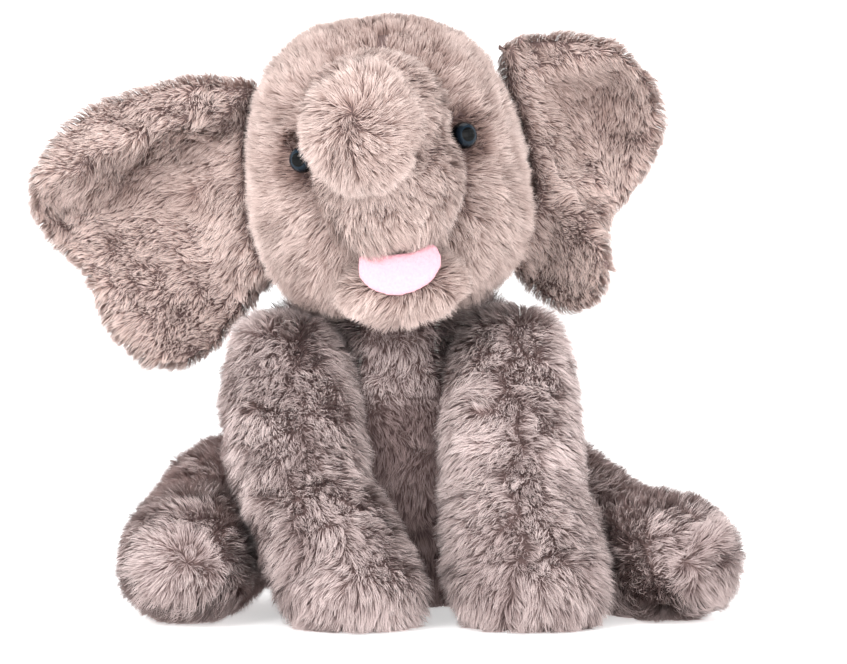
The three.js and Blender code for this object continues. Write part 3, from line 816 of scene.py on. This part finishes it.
for part, body, comb, share, tuft, others, slot in COATS:
    finish = FACE_FUR if slot == "face_fur" else BODY_FUR
    blades, tones, glow = grow(part + "_fur", skins[part], comb, DENSITY * share, tuft, CREVICES[part],
                               clear_of(*others))
    fur_pieces(part + "_fur", body, finish, blades, tones, glow)

# %% [markdown]
# ## Eyes, tongue and small pieces
# A safety eye is one moulding: a glossy dome on a stem. Its colour is painted behind clear plastic, so
# it reads as a dark blue-grey ring with a black pupil under a sharp highlight. The dome is a sphere cut
# flat at its base and squashed a little. The tongue is short-pile cloth over a thin pad.

# %% Eyes
EYE_RADIUS = 0.006
EYE_AXES = {}
for part in ("right_eye", "left_eye"):
    places = vertices_of(nodes[part].data)
    washer = np.array(middle_of(part + "_washer"))
    far = places[np.argsort(np.linalg.norm(places - washer, axis=1))[-12:]].mean(0)
    EYE_AXES[part] = (Vector(far), (Vector(far) - Vector(washer)).normalized())


def eye_material():
    made, tree, bsdf = material("clear plastic eye", 0.05, Specular_IOR_Level=0.12,
                                Coat_Weight=0.06, Coat_Roughness=0.02)
    uv = tree.nodes.new("ShaderNodeAttribute")
    uv.attribute_name = "from_pole"
    pupil = tree.nodes.new("ShaderNodeValToRGB")
    stops = ((0.0, rgb(4, 4, 5)), (0.5, rgb(4, 4, 5)), (0.56, rgb(26, 40, 52)), (0.78, rgb(16, 24, 33)),
             (0.92, rgb(4, 5, 7)))
    while len(pupil.color_ramp.elements) < len(stops):
        pupil.color_ramp.elements.new(0.5)
    for element, (position, colour) in zip(pupil.color_ramp.elements, stops):
        element.position = position
        element.color = colour
    tree.links.new(uv.outputs["Fac"], pupil.inputs["Fac"])
    tree.links.new(pupil.outputs["Color"], bsdf.inputs["Base Color"])
    return made


EYE_PLASTIC = eye_material()


def make_eye(part):
    front, axis = EYE_AXES[part]
    bm = bmesh.new()
    bmesh.ops.create_uvsphere(bm, u_segments=40, v_segments=24, radius=EYE_RADIUS)
    bmesh.ops.bisect_plane(bm, geom=bm.verts[:] + bm.edges[:] + bm.faces[:],
                           plane_co=(0, 0, -EYE_RADIUS * 0.35), plane_no=(0, 0, 1), clear_inner=True)
    bmesh.ops.holes_fill(bm, edges=[e for e in bm.edges if e.is_boundary])
    layer = bm.verts.layers.float.new("from_pole")
    for vert in bm.verts:
        vert[layer] = Vector((vert.co.x, vert.co.y)).length / EYE_RADIUS if vert.co.z > 0 else 1.0
        vert.co.z *= 0.8
    turn = axis.to_track_quat("Z", "Y").to_matrix().to_4x4()
    bmesh.ops.transform(bm, verts=bm.verts, matrix=Matrix.Translation(front - axis * EYE_RADIUS * 0.8) @ turn)
    eye = mesh_object(part + "_dome", bm)
    for polygon in eye.data.polygons:
        polygon.use_smooth = True
    eye.data.materials.append(EYE_PLASTIC)
    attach(eye, "head")
    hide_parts(part)
    return eye


for part in ("right_eye", "left_eye"):
    make_eye(part)

# %% Tongue
tongue = skin_of("tongue_pad", ["tongue"], 0.0, 0.0015, rounds=6, pressure=0.5)
tongue.data.materials.clear()
tongue.data.materials.append(MINKY)
finer = tongue.modifiers.new("finer", "SUBSURF")
finer.levels = finer.render_levels = 1
bake_modifiers(tongue)
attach(tongue, "head")
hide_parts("tongue")

# %% Stuffing, washers and label keep their own shapes
for name, node in nodes.items():
    finish = None
    if name.endswith("_stuffing") or name == "pellet_bag":
        finish = FIBRE
    elif name.endswith("_washer"):
        finish = NYLON
    elif name == "care_label":
        finish = SATIN
    if finish:
        node.data.materials.clear()
        node.data.materials.append(finish)

# %% Bowl finish
bowl_finish, _, bowl_bsdf = material("white bowl", 0.9, Specular_IOR_Level=0.1)
bowl_bsdf.inputs["Base Color"].default_value = (0.9, 0.9, 0.9, 1)
bowl_bsdf.inputs["Emission Color"].default_value = (1, 1, 1, 1)
bowl_bsdf.inputs["Emission Strength"].default_value = 0.5
bowl.data.materials.append(bowl_finish)

# %% Size and finish
print("CAD box", [round(v, 4) for v in (*cad_low, *cad_high)])
